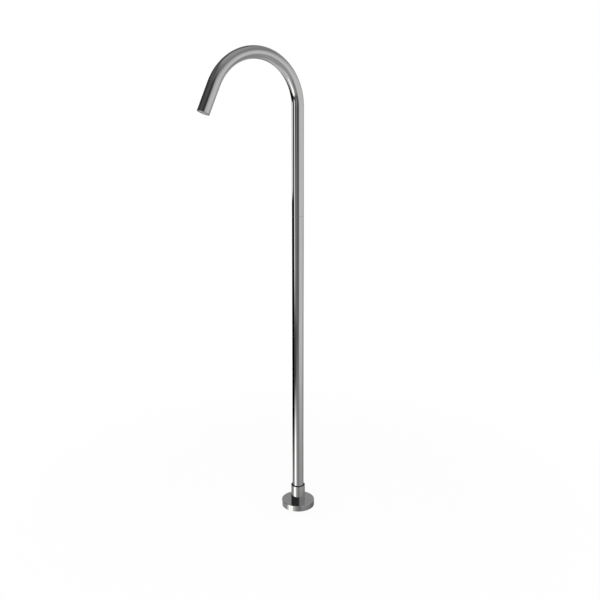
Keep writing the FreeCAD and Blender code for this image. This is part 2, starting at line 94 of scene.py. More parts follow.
def white_for_sight(tree):
    """1 for the rays of the camera, of metal and of clear things, and 0 for light itself."""
    path = add_node(tree, "ShaderNodeLightPath").outputs
    sight = path["Is Camera Ray"]
    for ray in ("Is Glossy Ray", "Is Transmission Ray"):
        sight = add_node(tree, "ShaderNodeMath", {0: sight, 1: path[ray]}, operation="MAXIMUM").outputs[0]
    return sight


def empty_tree(holder):
    """The node tree of a material or a world, emptied."""
    holder.use_nodes = True
    holder.node_tree.nodes.clear()
    return holder.node_tree


def add_plane(name, half_width, height):
    """A flat square that looks up."""
    low, high = -half_width, half_width
    corners = [(low, low, height), (high, low, height), (high, high, height), (low, high, height)]
    mesh = bpy.data.meshes.new(name)
    mesh.from_pydata(corners, [], [(0, 1, 2, 3)])
    return add_object(name, mesh)


paper_white = "#F4F4F4"
paper_half_width = 6.0
paper_height = -0.0002
shadow_near = 0.3
shadow_far = 0.9
shadow_glow = 0.9
daylight = 0.72
lamp_width = 1.6
lamp_power = 26.0
lamp_place = (0.9, -1.1, 2.4)

paper = bpy.data.materials.new("white_paper")
tree = empty_tree(paper)
place = add_node(tree, "ShaderNodeTexCoord").outputs["Object"]
reach = add_node(tree, "ShaderNodeVectorMath", {0: place}, operation="LENGTH").outputs["Value"]
# Sight finds the paper nearly white in the object's shadow, and quite white beyond the reach of it
edges = {"Value": reach, "From Min": shadow_near, "From Max": shadow_far, "To Min": shadow_glow, "To Max": 1.0}
whiteness = add_node(tree, "ShaderNodeMapRange", edges, interpolation_type="SMOOTHSTEP")
sight = white_for_sight(tree)
share = add_node(tree, "ShaderNodeMath", {0: sight, 1: whiteness.outputs[0]}, operation="MULTIPLY")
plain = add_node(tree, "ShaderNodeBsdfDiffuse", {"Color": linear(paper_white)})
glow = add_node(tree, "ShaderNodeEmission", {"Color": (1, 1, 1, 1), "Strength": 1.0})
mixed = add_node(tree, "ShaderNodeMixShader", {0: share.outputs[0], 1: plain.outputs[0], 2: glow.outputs[0]})
add_node(tree, "ShaderNodeOutputMaterial", {"Surface": mixed.outputs[0]})
floor = add_plane("paper_floor", paper_half_width, paper_height)
floor.data.materials.append(paper)
floor.visible_glossy = False

world = bpy.data.worlds.new("daylight")
tree = empty_tree(world)
strengths = {"Value": white_for_sight(tree), "To Min": daylight, "To Max": 1.0}
level = add_node(tree, "ShaderNodeMapRange", strengths)
sky = add_node(tree, "ShaderNodeBackground", {"Color": (1, 1, 1, 1), "Strength": level.outputs[0]})
add_node(tree, "ShaderNodeOutputWorld", {"Surface": sky.outputs[0]})
bpy.context.scene.world = world

lamp_data = bpy.data.lights.new("soft_lamp", "AREA")
lamp_data.shape = "SQUARE"
lamp_data.size = lamp_width
lamp_data.energy = lamp_power
lamp = add_object("soft_lamp", lamp_data)
lamp.location = lamp_place
lamp.rotation_euler = Vector(lamp_place).to_track_quat("Z", "Y").to_euler()
lamp.visible_glossy = False

# --- Studio: what the chrome sees ---------------------------------------------------------------------------
# Chrome has no colour of its own: it shows the studio. These are the grey walls, the soft boxes and the dark
# flags that stand round it, painted on one far shell that only reflections see, each card over those before it.
shell_radius = 100.0
shell_centre = 0.5
shell_rings = 24
room_grey = 0.226
# Each card's bearing from the camera (to the right), height above the horizon, half width, half height and soft
# edge, in degrees, and its brightness. Those with a half width of 400 run all the way round.
studio_cards = {
    "floor_cloth": (180, -77, 400, 27, 25, 0.64),
    "side_walls": (65, -12, 400, 10.3, 47, 0.72),
    "left_wall": (-82.3, 27.9, 89.3, 29.9, 27.2, 0.04),
    "ceiling": (0, 96, 400, 22, 49.4, 0.39),
    "left_ceiling": (-111.6, 53.4, 80, 4.2, 16, 0.12),
    "near_floor": (49.8, -55.8, 64.2, 26.9, 12.9, 0.4),
    "back_wall": (165.9, -9.3, 18, 35.4, 25.7, 0.35),
    "back_floor": (163.1, -19.7, 20.5, 3.7, 5.3, 0.76),
    "right_gap": (122, -40, 12.2, 12.8, 25, 0.31),
    "left_floor": (-115.7, -26.3, 28.8, 10.6, 1, 0.35),
    "left_flag": (-111, -9.2, 68.3, 13.1, 6.9, 0.0),
    "front_flag": (-31, -13.8, 37.9, 0, 18.8, 0.11),
    "floor_light": (-54.9, -40.1, 14.9, 14.6, 5.7, 1.62),
    "front_cloth": (-23, -67, 12, 5, 28, 0.74),
    "near_strip": (-64.5, -5.3, 7, 6.4, 5.8, 1.05),
    "far_strip": (-125.5, 2.7, 17.9, 9.7, 1, 1.0),
    "corner_strip": (-52.3, -10.8, 2.5, 4.3, 1.8, 0.3),
    "side_strip": (-21, -7.7, 5.6, 8.2, 1, 0.35),
    "near_shade": (10, -29, 11, 5, 8, 0.27),
}
# Only the light on the floor is brighter than this, and from here on the plain white turns warm
warm_from = 1.1
warm_fully = 1.6
plain_white = "#FFFFFF"
warm_white = "#FFFEF9"


def band_faces(bands, rows, around):
    """The faces of bands between rows of points that run round; a band after the last row joins the first."""
    return [
        (
            row * around + step,
            row * around + (step + 1) % around,
            (row + 1) % rows * around + (step + 1) % around,
            (row + 1) % rows * around + step,
        )
        for row in range(bands)
        for step in range(around)
    ]


def leave_to_gloss(piece):
    """Shows a piece of the studio to reflections alone."""
    for kind in ("camera", "diffuse", "transmission", "volume_scatter", "shadow"):
        setattr(piece, f"visible_{kind}", False)


studio = bpy.data.materials.new("studio_walls")
tree = empty_tree(studio)
place = add_node(tree, "ShaderNodeTexCoord").outputs["Object"]
towards = add_node(tree, "ShaderNodeVectorMath", {0: place}, operation="NORMALIZE")
axes = add_node(tree, "ShaderNodeSeparateXYZ", {0: towards.outputs[0]}).outputs
bearing = add_node(tree, "ShaderNodeMath", {0: axes[1], 1: axes[0]}, operation="ARCTAN2")
bearing = add_node(tree, "ShaderNodeMath", {0: bearing.outputs[0]}, operation="DEGREES")
height = add_node(tree, "ShaderNodeMath", {0: axes[2]}, operation="ARCSINE")
height = add_node(tree, "ShaderNodeMath", {0: height.outputs[0]}, operation="DEGREES")
shade = room_grey
for turn, rise, half_width, half_height, soft, brightness in studio_cards.values():
    middle = turn + math.degrees(camera_turn) - 90
    aside = add_node(tree, "ShaderNodeMath", {0: bearing.outputs[0], 1: middle}, operation="SUBTRACT")
    aside = add_node(tree, "ShaderNodeMath", {0: aside.outputs[0], 1: 180.0, 2: -180.0}, operation="WRAP")
    above = add_node(tree, "ShaderNodeMath", {0: height.outputs[0], 1: rise}, operation="SUBTRACT")
    cover = []
    for distance, half in ((aside, half_width), (above, half_height)):
        away = add_node(tree, "ShaderNodeMath", {0: distance.outputs[0]}, operation="ABSOLUTE").outputs[0]
        edge = {"Value": away, "From Min": half, "From Max": half + soft, "To Min": 1.0, "To Max": 0.0}
        cover.append(add_node(tree, "ShaderNodeMapRange", edge, interpolation_type="SMOOTHSTEP").outputs[0])
    both = add_node(tree, "ShaderNodeMath", {0: cover[0], 1: cover[1]}, operation="MULTIPLY")
    layers = {"Factor": both.outputs[0], "A": shade, "B": brightness}
    shade = add_node(tree, "ShaderNodeMix", layers, data_type="FLOAT").outputs[0]
warmth = add_node(tree, "ShaderNodeMapRange", {"Value": shade, "From Min": warm_from, "From Max": warm_fully})
# Sockets 6 and 7 of a Mix node, here and below, are its two colours, and output 2 the mixed one
colours = {0: warmth.outputs[0], 6: linear(plain_white), 7: linear(warm_white)}
colour = add_node(tree, "ShaderNodeMix", colours, data_type="RGBA")
walls = add_node(tree, "ShaderNodeEmission", {"Color": colour.outputs[2], "Strength": shade})
add_node(tree, "ShaderNodeOutputMaterial", {"Surface": walls.outputs[0]})
studio.cycles.emission_sampling = "NONE"

shell_points = [
    (
        shell_radius * math.sin(math.pi * row / shell_rings) * math.cos(math.pi * step / shell_rings),
        shell_radius * math.sin(math.pi * row / shell_rings) * math.sin(math.pi * step / shell_rings),
        shell_radius * math.cos(math.pi * row / shell_rings),
    )
    for row in range(shell_rings + 1)
    for step in range(2 * shell_rings)
]
shell_data = bpy.data.meshes.new("studio_shell")
shell_data.from_pydata(shell_points, [], band_faces(shell_rings, shell_rings + 1, 2 * shell_rings))
shell_data.materials.append(studio)
shell = add_object("studio_shell", shell_data)
shell.location = (0, 0, shell_centre)
leave_to_gloss(shell)

# The shell's floor lies far off, so the object's shade on the paper is laid round its foot as a thin dark film.
# Its angles are counted from 45 degrees to the right of the camera. It is clear towards the floor light on the
# left, deepens round to the right, ends at the back, and fades outwards.
film_bearing = camera_turn + math.radians(45 - 90)
film_clear = math.radians(-95)
film_deep = math.radians(80)
film_ending = math.radians(110)
film_end = math.radians(160)
film_depth = 0.72
film_start = 0.03
film_reach = 0.095
film_height = -0.0001
film = bpy.data.materials.new("shade_film")
tree = empty_tree(film)
place = add_node(tree, "ShaderNodeTexCoord").outputs["Object"]
axes = add_node(tree, "ShaderNodeSeparateXYZ", {0: place}).outputs
bearing = add_node(tree, "ShaderNodeMath", {0: axes[1], 1: axes[0]}, operation="ARCTAN2")
aside = add_node(tree, "ShaderNodeMath", {0: bearing.outputs[0], 1: film_bearing}, operation="SUBTRACT")
aside = add_node(tree, "ShaderNodeMath", {0: aside.outputs[0], 1: math.pi, 2: -math.pi}, operation="WRAP")
aside = aside.outputs[0]
turned = {"Value": aside, "From Min": film_clear, "From Max": film_deep}
deepening = add_node(tree, "ShaderNodeMapRange", turned)
behind = {"Value": aside, "From Min": film_ending, "From Max": film_end, "To Min": 1.0, "To Max": 0.0}
ending = add_node(tree, "ShaderNodeMapRange", behind, interpolation_type="SMOOTHSTEP")
reach = add_node(tree, "ShaderNodeVectorMath", {0: place}, operation="LENGTH").outputs["Value"]
outwards = {"Value": reach, "From Min": film_start, "From Max": film_reach, "To Min": film_depth, "To Max": 0.0}
fading = add_node(tree, "ShaderNodeMapRange", outwards)
share = add_node(tree, "ShaderNodeMath", {0: deepening.outputs[0], 1: ending.outputs[0]}, operation="MULTIPLY")
share = add_node(tree, "ShaderNodeMath", {0: share.outputs[0], 1: fading.outputs[0]}, operation="MULTIPLY")
passed = add_node(tree, "ShaderNodeMath", {0: 1.0, 1: share.outputs[0]}, operation="SUBTRACT")
clear = add_node(tree, "ShaderNodeBsdfTransparent", {"Color": passed.outputs[0]})
add_node(tree, "ShaderNodeOutputMaterial", {"Surface": clear.outputs[0]})
shade_film = add_plane("foot_shade", film_reach, film_height)
shade_film.data.materials.append(film)
leave_to_gloss(shade_film)

# --- Floor gasket -------------------------------------------------------------------------------------------
# Ring of black EPDM rubber between plate and floor, die-cut from 2 mm sheet. It is matt, with a fine grain from
# the calender rolls and a little pale dust in places.
MM = 0.001
noise_low = 0.3
noise_high = 0.7


def new_finish(name, numbers):
    """A material, its tree, its shader with the numbers given, and the place that its patterns read."""
    material = bpy.data.materials.new(name)
    material.use_nodes = True
    shader = material.node_tree.nodes["Principled BSDF"]
    for socket, number in numbers.items():
        shader.inputs[socket].default_value = number
    place = add_node(material.node_tree, "ShaderNodeTexCoord").outputs["Object"]
    return material, material.node_tree, shader, place


def lumps(tree, place, size, detail=2.0):
    """A soft random pattern, 0 to 1, whose lumps are about that many millimetres across."""
    inputs = {"Vector": place, "Scale": 1.0 / (size * MM), "Detail": detail, "Roughness": 0.5}
    return add_node(tree, "ShaderNodeTexNoise", inputs).outputs["Fac"]


def spread(tree, pattern, low, high):
    """The middle of a random pattern, where nearly all of it lies, spread from low to high."""
    inputs = {"Value": pattern, "From Min": noise_low, "From Max": noise_high, "To Min": low, "To Max": high}
    return add_node(tree, "ShaderNodeMapRange", inputs).outputs[0]


def mottle(tree, shader, pattern, dark, pale):
    """Colours the surface between two hex codes by a pattern."""
    inputs = {0: spread(tree, pattern, 0.0, 1.0), 6: linear(dark), 7: linear(pale)}
    mixed = add_node(tree, "ShaderNodeMix", inputs, data_type="RGBA")
    tree.links.new(mixed.outputs[2], shader.inputs["Base Color"])


def roughen(tree, shader, pattern, smooth, rough):
    """Varies the roughness between two values by a pattern."""
    tree.links.new(spread(tree, pattern, smooth, rough), shader.inputs["Roughness"])


def dent(tree, shader, pattern, depth):
    """Raises and lowers the surface by a pattern, depth in millimetres."""
    bump = add_node(tree, "ShaderNodeBump", {"Strength": 1.0, "Distance": depth * MM, "Height": pattern})
    tree.links.new(bump.outputs[0], shader.inputs["Normal"])


def dress(node, material):
    """Gives a solid of the frame its finish; its shape stays."""
    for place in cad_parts[node].material_slots:
        place.material = material


rubber, tree, shader, place = new_finish("epdm_rubber", {"IOR": 1.52})
dusty = lumps(tree, place, 6.0, detail=4.0)
mottle(tree, shader, dusty, "#191919", "#232322")
roughen(tree, shader, dusty, 0.62, 0.78)
dent(tree, shader, lumps(tree, place, 0.5), 0.02)
dress("floor_gasket", rubber)

# --- Floor plate --------------------------------------------------------------------------------------------
# Plate and hub turned from one piece of brass, with the stem's socket above and a G1/2 thread below. Three
# countersunk holes take the floor screws. Bare brass, straw-coloured, with the fine rings of the turning tool.
plate_top = 8.0
inlet_bore = 10.48
# An outline's corners, here and below, are radius, height and rounding, in millimetres
plate_outline = [
    (inlet_bore, 2.0, 0.3), (33.0, 2.0, 0.2), (33.0, plate_top, 0.8), (14.3, plate_top, 0.3),
    (14.3, 36.0, 0.6), (9.5, 36.0, 0.3), (9.5, 18.0, 0.2), (6.5, 18.0, 0.3), (6.5, 15.0, 0.2),
    (10.8, 15.0, 0.2), (10.8, 12.5, 0.2), (inlet_bore, 12.5, 0.1),
]
plate_corner_steps = 4
# The radii of the screws' circle, holes and heads and of the grub screw's hole
screw_circle = 25.0
screw_hole = 2.75
screw_head = 5.2
grub_hole = 2.05
grub_height = 24.0
screw_count = 3
screw_bearing = 90
# The cutters' lengths and sides, how far the one for a head stands over the plate, and how near each other
# points are joined after a cut
screw_cutter = 20.0
grub_cutter = 4.0
cutter_sides = 64
head_clearance = 0.1
sliver = 0.002


def round_corners(outline, steps):
    """Points of a closed outline of (radius, height, rounding) corners, each with its outward direction."""
    points = []
    for index, (radius, height, rounding) in enumerate(outline):
        corner = Vector((radius, height))
        before = (corner - Vector(outline[index - 1][:2])).normalized()
        after = (Vector(outline[(index + 1) % len(outline)][:2]) - corner).normalized()
        turn = math.atan2(before.x * after.y - before.y * after.x, before.dot(after))
        start = corner - before * rounding * math.tan(abs(turn) / 2)
        side = 1 if turn > 0 else -1
        out = Vector((before.y, -before.x))
        centre = start - out * rounding * side
        for step in range(steps + 1):
            cosine, sine = math.cos(turn * step / steps), math.sin(turn * step / steps)
            facing = Vector((out.x * cosine - out.y * sine, out.x * sine + out.y * cosine))
            points.append((centre + facing * rounding * side, facing))
    return points


def turned_piece(name, outline, material, around=192, steps=5):
    """A piece turned round the column's axis, with exact surface directions, so that it shades smoothly."""
    points = round_corners(outline, steps)
    angles = [2 * math.pi * step / around for step in range(around)]
    turns = [(math.cos(angle), math.sin(angle)) for angle in angles]
    places = [
        (at.x * MM * across, at.x * MM * along, at.y * MM) for at, facing in points for across, along in turns
    ]
    mesh = bpy.data.meshes.new(name)
    mesh.from_pydata(places, [], band_faces(len(points), len(points), around))
    mesh.materials.append(material)
    mesh.shade_smooth()
    mesh.normals_split_custom_set_from_vertices(
        [(facing.x * across, facing.x * along, facing.y) for at, facing in points for across, along in turns]
    )
    return add_object(name, mesh)


def finish_piece(piece, body, slot, *nodes):
    """Lets a piece ride on its body in place of the solids it stands for."""
    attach(piece, body)
    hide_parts(*nodes)


def new_tree(name, sizes):
    """A Geometry Nodes tree with named sizes: the tree, its input sockets and each size's identifier."""
    tree = bpy.data.node_groups.new(name, "GeometryNodeTree")
    tree.interface.new_socket("Geometry", in_out="INPUT", socket_type="NodeSocketGeometry")
    tree.interface.new_socket("Geometry", in_out="OUTPUT", socket_type="NodeSocketGeometry")
    names = {}
    for size, value in sizes.items():
        kind = {int: "NodeSocketInt", float: "NodeSocketFloat"}.get(type(value), "NodeSocketMaterial")
        names[size] = tree.interface.new_socket(size, in_out="INPUT", socket_type=kind).identifier
    return tree, add_node(tree, "NodeGroupInput").outputs, names


def close_tree(tree, shape, material):
    """Ends a tree: real faces, the finish, and the result."""
    real = add_node(tree, "GeometryNodeRealizeInstances", {0: shape})
    dressed = add_node(tree, "GeometryNodeSetMaterial", {"Geometry": real.outputs[0], "Material": material})
    add_node(tree, "NodeGroupOutput", {0: dressed.outputs[0]})


def grow(piece, tree, names, sizes):
    """Puts a tree on a piece with its sizes set."""
    modifier = piece.modifiers.new(tree.name, "NODES")
    modifier.node_group = tree
    for size, value in sizes.items():
        modifier[names[size]] = value


def settle(piece):
    """Turns a piece and its modifiers into one plain mesh."""
    bpy.context.view_layer.update()
    seen = piece.evaluated_get(bpy.context.evaluated_depsgraph_get())
    piece.data = bpy.data.meshes.new_from_object(seen)
    piece.modifiers.clear()


def grub_hole_cutter(tree, size, wall, sides):
    """What cuts the grub screw's hole in a back wall that stands so many millimetres from the axis."""
    pin = add_node(
        tree,
        "GeometryNodeMeshCylinder",
        {"Vertices": sides, "Radius": size["Grub hole"], "Depth": grub_cutter * MM},
    )
    spot = add_node(tree, "ShaderNodeCombineXYZ", {"Y": wall * MM, "Z": size["Grub height"]})
    laid = add_node(
        tree,
        "GeometryNodeTransform",
        {"Geometry": pin.outputs[0], "Translation": spot.outputs[0], "Rotation": (math.radians(90), 0.0, 0.0)},
    )
    return laid.outputs[0]


def drill(tree, size, material, *cutters):
    """Cuts the holes, joins the slivers that the cuts leave, and ends the tree."""
    drilled = add_node(
        tree, "GeometryNodeMeshBoolean", {0: size["Geometry"]}, operation="DIFFERENCE", solver="EXACT"
    )
    for cutter in cutters:
        tree.links.new(cutter, drilled.inputs[1])
    joined = add_node(
        tree, "GeometryNodeMergeByDistance", {"Geometry": drilled.outputs[0], "Distance": sliver * MM}
    )
    close_tree(tree, joined.outputs[0], material)


def shade_drilled(piece, outline, steps, bores):
    """Gives a drilled piece the exact directions of its turned outline, and of round walls in its bores."""
    shortest = 1e-9
    on_outline = 0.8
    points = round_corners(outline, steps)
    mesh = piece.data
    mesh.shade_smooth()
    places = np.array([vertex.co for vertex in mesh.vertices]) / MM
    across = np.hypot(places[:, 0], places[:, 1])
    spots = np.column_stack([across, places[:, 2]])
    starts = np.array([at for at, facing in points])
    facings = np.array([facing for at, facing in points])
    ways = np.roll(starts, -1, axis=0) - starts
    turns = np.roll(facings, -1, axis=0) - facings
    along = ((spots[:, None] - starts) * ways).sum(2) / np.maximum((ways**2).sum(1), shortest)
    along = along.clip(0, 1)
    gaps = np.linalg.norm(spots[:, None] - starts - ways * along[..., None], axis=2)
    nearest = gaps.argmin(1)
    facing = facings[nearest] + turns[nearest] * along[np.arange(len(places)), nearest][:, None]
    outward = np.column_stack([places[:, :2] / across[:, None] * facing[:, :1], facing[:, 1]])
    directions = []
    for face in mesh.polygons:
        middle = face.center / MM
        foot, way = min(bores, key=lambda bore: (middle - bore[0]).cross(bore[1]).length)
        for vertex in face.vertices:
            direction = Vector(outward[vertex])
            # A face that looks another way than the outline is part of a bore's wall
            if direction.dot(face.normal) < on_outline:
                spoke = Vector(places[vertex]) - foot
                spoke -= way * spoke.dot(way)
                lean = face.normal.dot(way)
                direction = way * lean - spoke.normalized() * math.sqrt(max(0.0, 1 - lean * lean))
            directions.append(direction.normalized())
    mesh.normals_split_custom_set(directions)


brass, tree, shader, place = new_finish("bare_turned_brass", {"Metallic": 1.0})
stain = lumps(tree, place, 14.0, detail=5.0)
mottle(tree, shader, stain, "#D2AE61", "#E2C279")
roughen(tree, shader, stain, 0.2, 0.3)
# The tool's feed is 0.15 mm a turn; its rings are drawn 0.45 mm wide, so that they show
feed = 0.45
flat = add_node(tree, "ShaderNodeVectorMath", {0: place, 1: (1.0, 1.0, 0.0)}, operation="MULTIPLY")
reach = add_node(tree, "ShaderNodeVectorMath", {0: flat.outputs[0]}, operation="LENGTH")
level = add_node(tree, "ShaderNodeSeparateXYZ", {0: place})
path = add_node(tree, "ShaderNodeMath", {0: reach.outputs["Value"], 1: level.outputs[2]}, operation="ADD")
rings = add_node(tree, "ShaderNodeMath", {0: path.outputs[0], 1: feed * MM}, operation="PINGPONG")
groove = add_node(tree, "ShaderNodeMath", {0: rings.outputs[0], 1: 1 / (feed * MM)}, operation="MULTIPLY")
dent(tree, shader, groove.outputs[0], 0.004)

sizes = {
    "Screw circle": screw_circle * MM,
    "Screw hole": screw_hole * MM,
    "Screw head": screw_head * MM,
    "Screws": screw_count,
    "Grub hole": grub_hole * MM,
    "Grub height": grub_height * MM,
    "Brass": brass,
}
tree, size, names = new_tree("plate_drilling", sizes)
shank = add_node(
    tree,
    "GeometryNodeMeshCylinder",
    {"Vertices": cutter_sides, "Radius": size["Screw hole"], "Depth": screw_cutter * MM},
)
head = add_node(
    tree,
    "GeometryNodeMeshCone",
    {
        "Vertices": cutter_sides,
        "Radius Top": size["Screw head"],
        "Radius Bottom": 0.0,
        "Depth": size["Screw head"],
    },
)
head_top = (plate_top + head_clearance) * MM
sunk = add_node(tree, "ShaderNodeMath", {0: head_top, 1: size["Screw head"]}, operation="SUBTRACT")
sunk_place = add_node(tree, "ShaderNodeCombineXYZ", {"Z": sunk.outputs[0]})
head_placed = add_node(
    tree, "GeometryNodeTransform", {"Geometry": head.outputs[0], "Translation": sunk_place.outputs[0]}
)
cutter = add_node(tree, "GeometryNodeMeshBoolean", operation="UNION", solver="EXACT")
tree.links.new(shank.outputs[0], cutter.inputs["Mesh"])
tree.links.new(head_placed.outputs[0], cutter.inputs["Mesh"])
ring = add_node(
    tree,
    "GeometryNodeMeshCircle",
    {"Vertices": size["Screws"], "Radius": size["Screw circle"]},
    fill_type="NONE",
)
# One hole lies behind the column, the others a third of a turn from it
turned_ring = add_node(
    tree,
    "GeometryNodeTransform",
    {"Geometry": ring.outputs[0], "Rotation": (0.0, 0.0, math.radians(screw_bearing))},
)
holes = add_node(
    tree, "GeometryNodeInstanceOnPoints", {"Points": turned_ring.outputs[0], "Instance": cutter.outputs[0]}
)
grub = grub_hole_cutter(tree, size, wall=14.2, sides=cutter_sides)
drill(tree, size, size["Brass"], holes.outputs[0], grub)

plate = turned_piece("floor_plate_turned", plate_outline, brass, steps=plate_corner_steps)
grow(plate, tree, names, sizes)
settle(plate)
# Each bore for the shading is a point on its line and the line's direction
screw_turns = [math.radians(screw_bearing + 360 * step / screw_count) for step in range(screw_count)]
screw_bores = [
    (Vector((screw_circle * math.cos(turn), screw_circle * math.sin(turn), 0.0)), Vector((0.0, 0.0, 1.0)))
    for turn in screw_turns
]
grub_bore = (Vector((0.0, 0.0, grub_height)), Vector((0.0, 1.0, 0.0)))
shade_drilled(plate, plate_outline, plate_corner_steps, [*screw_bores, grub_bore])
finish_piece(plate, "base", "turned_brass", "floor_plate")

# --- Thread in the plate's inlet ----------------------------------------------------------------------------
# The G1/2 thread cut into the plate from below: 14 turns to the inch, its flanks leaning 27.5 degrees. The
# ridge between the cuts, of the plate's brass, is swept along the screw line and rooted in the bore's wall.
thread_pitch = 1.814
thread_crest = 9.33
thread_root = inlet_bore + 0.04
thread_foot = 2.9
thread_turns = 5.0
# The ridge's widths, as shares of the pitch
ridge_foot = 0.86
ridge_crest = 0.2
sizes = {
    "Root": thread_root * MM,
    "Crest height": (thread_root - thread_crest) * MM,
    "Pitch": thread_pitch * MM,
    "Turns": thread_turns,
    "Brass": brass,
}
tree, size, names = new_tree("inlet_thread", sizes)
rise = add_node(tree, "ShaderNodeMath", {0: size["Pitch"], 1: size["Turns"]}, operation="MULTIPLY")
helix = add_node(
    tree,
    "GeometryNodeCurveSpiral",
    {
        "Resolution": 72,
        "Rotations": size["Turns"],
        "Start Radius": size["Root"],
        "End Radius": size["Root"],
        "Height": rise.outputs[0],
    },
)
upright = add_node(tree, "GeometryNodeSetCurveNormal", {"Curve": helix.outputs[0]}, mode="Z_UP")
foot_width = add_node(tree, "ShaderNodeMath", {0: size["Pitch"], 1: ridge_foot}, operation="MULTIPLY")
crest_width = add_node(tree, "ShaderNodeMath", {0: size["Pitch"], 1: ridge_crest}, operation="MULTIPLY")
ridge = add_node(
    tree,
    "GeometryNodeCurvePrimitiveQuadrilateral",
    {
        "Bottom Width": foot_width.outputs[0],
        "Top Width": crest_width.outputs[0],
        "Height": size["Crest height"],
        "Offset": 0.0,
    },
    mode="TRAPEZOID",
)
half = add_node(tree, "ShaderNodeMath", {0: size["Crest height"], 1: 0.5}, operation="MULTIPLY")
ridge_place = add_node(tree, "ShaderNodeCombineXYZ", {"Y": half.outputs[0]})
inwards = add_node(
    tree, "GeometryNodeTransform", {"Geometry": ridge.outputs[0], "Translation": ridge_place.outputs[0]}
)
leaned = add_node(
    tree, "GeometryNodeTransform", {"Geometry": inwards.outputs[0], "Rotation": (0.0, 0.0, math.radians(-90))}
)
swept = add_node(
    tree,
    "GeometryNodeCurveToMesh",
    {"Curve": upright.outputs[0], "Profile Curve": leaned.outputs[0], "Fill Caps": True},
)
lifted = add_node(
    tree, "GeometryNodeTransform", {"Geometry": swept.outputs[0], "Translation": (0.0, 0.0, thread_foot * MM)}
)
close_tree(tree, lifted.outputs[0], size["Brass"])

thread = add_object("inlet_thread", bpy.data.meshes.new("inlet_thread"))
grow(thread, tree, names, sizes)
settle(thread)
thread.data.set_sharp_from_angle(angle=math.radians(30))
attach(thread, "base")

# --- Inlet washer -------------------------------------------------------------------------------------------
# Flat washer of red vulcanised fibre against the inlet's shoulder, punched from sheet. Paper-like: matt, with
# darker and paler fibres.
fibre, tree, shader, place = new_finish("vulcanised_red_fibre", {"IOR": 1.5})
mottle(tree, shader, lumps(tree, place, 1.2, detail=4.0), "#6E231B", "#8C3A2C")
roughen(tree, shader, lumps(tree, place, 3.0), 0.6, 0.8)
dent(tree, shader, lumps(tree, place, 0.4, detail=3.0), 0.02)
dress("inlet_washer", fibre)

# --- Swivel stem, its seals and its slip washers ------------------------------------------------------------
# Turned brass stem that is brazed into the column and turns in the plate's socket. Its flange runs between two
# washers of acetal, milky white and waxy. Two O-rings of black nitrile rubber, glossy with grease, seal it.
dress("swivel_stem", brass)

acetal, tree, shader, place = new_finish("natural_acetal", {"IOR": 1.48})
mottle(tree, shader, lumps(tree, place, 5.0), "#E4E3DC", "#EEEDE8")
roughen(tree, shader, lumps(tree, place, 2.0), 0.32, 0.42)
dent(tree, shader, lumps(tree, place, 0.8), 0.006)
dress("lower_slip_washer", acetal)
dress("upper_slip_washer", acetal)

nitrile, tree, shader, place = new_finish("greased_nitrile", {"IOR": 1.52})
greased = lumps(tree, place, 2.5, detail=3.0)
mottle(tree, shader, greased, "#121212", "#1C1C1D")
roughen(tree, shader, greased, 0.28, 0.5)
dent(tree, shader, lumps(tree, place, 0.4), 0.008)
roundness = 0.44


def seal_ring(node, body, inner, outer, foot, head):
    """An O-ring as it lies squeezed in its groove: flatter where it touches, round at its sides."""
    rounding = roundness * min(outer - inner, head - foot)
    corners = [(inner, foot), (outer, foot), (outer, head), (inner, head)]
    outline = [(*corner, rounding) for corner in corners]
    ring = turned_piece(node + "_squeezed", outline, nitrile, around=96, steps=6)
    finish_piece(ring, body, "seal_rubber", node)


seal_ring("lower_stem_oring", "spout", 7.98, 9.47, 22.15, 24.05)
seal_ring("upper_stem_oring", "spout", 7.98, 9.47, 28.65, 30.55)

# --- Collar -------------------------------------------------------------------------------------------------
# Chromed brass sleeve, screwed down over the plate's hub. Its inner lip holds the stem's flange down and seats
# the wiper ring. Bright chrome on buffed brass: a neutral mirror, a little duller where it has been wiped and
# wavy by two thousandths of a millimetre.
collar_outline = [
    (14.35, plate_top, 0.2), (15.6, plate_top, 0.35), (15.6, 49.5, 0.35), (14.8, 49.5, 0.1), (14.8, 46.5, 0.1),
    (12.58, 46.5, 0.1), (12.58, 41.2, 0.1), (14.35, 41.2, 0.1),
]
collar_corner_steps = 5

chrome, tree, shader, place = new_finish("buffed_chrome", {"Metallic": 1.0})
wiped = lumps(tree, place, 35.0)
mottle(tree, shader, wiped, "#CFD0CF", "#D3D4D3")
roughen(tree, shader, wiped, 0.02, 0.035)
dent(tree, shader, lumps(tree, place, 12.0), 0.002)

sizes = {"Grub hole": grub_hole * MM, "Grub height": grub_height * MM, "Chrome": chrome}
tree, size, names = new_tree("collar_drilling", sizes)
drill(tree, size, size["Chrome"], grub_hole_cutter(tree, size, wall=15.0, sides=96))

collar = turned_piece("collar_sleeve", collar_outline, chrome, steps=collar_corner_steps)
grow(collar, tree, names, sizes)
settle(collar)
shade_drilled(collar, collar_outline, collar_corner_steps, [grub_bore])
finish_piece(collar, "base", "polished_chrome", "collar")

# --- Grub screw ---------------------------------------------------------------------------------------------
# Headless M4 screw of stainless steel across the back of the collar, with a 2 mm hexagon socket. It is pale
# grey and satin from tumbling.
steel, tree, shader, place = new_finish("tumbled_stainless_steel", {"Metallic": 1.0})
mottle(tree, shader, lumps(tree, place, 1.5, detail=4.0), "#B3B1AD", "#C6C4C0")
roughen(tree, shader, lumps(tree, place, 0.8, detail=4.0), 0.24, 0.36)
dent(tree, shader, lumps(tree, place, 0.25), 0.004)
dress("collar_grub_screw", steel)

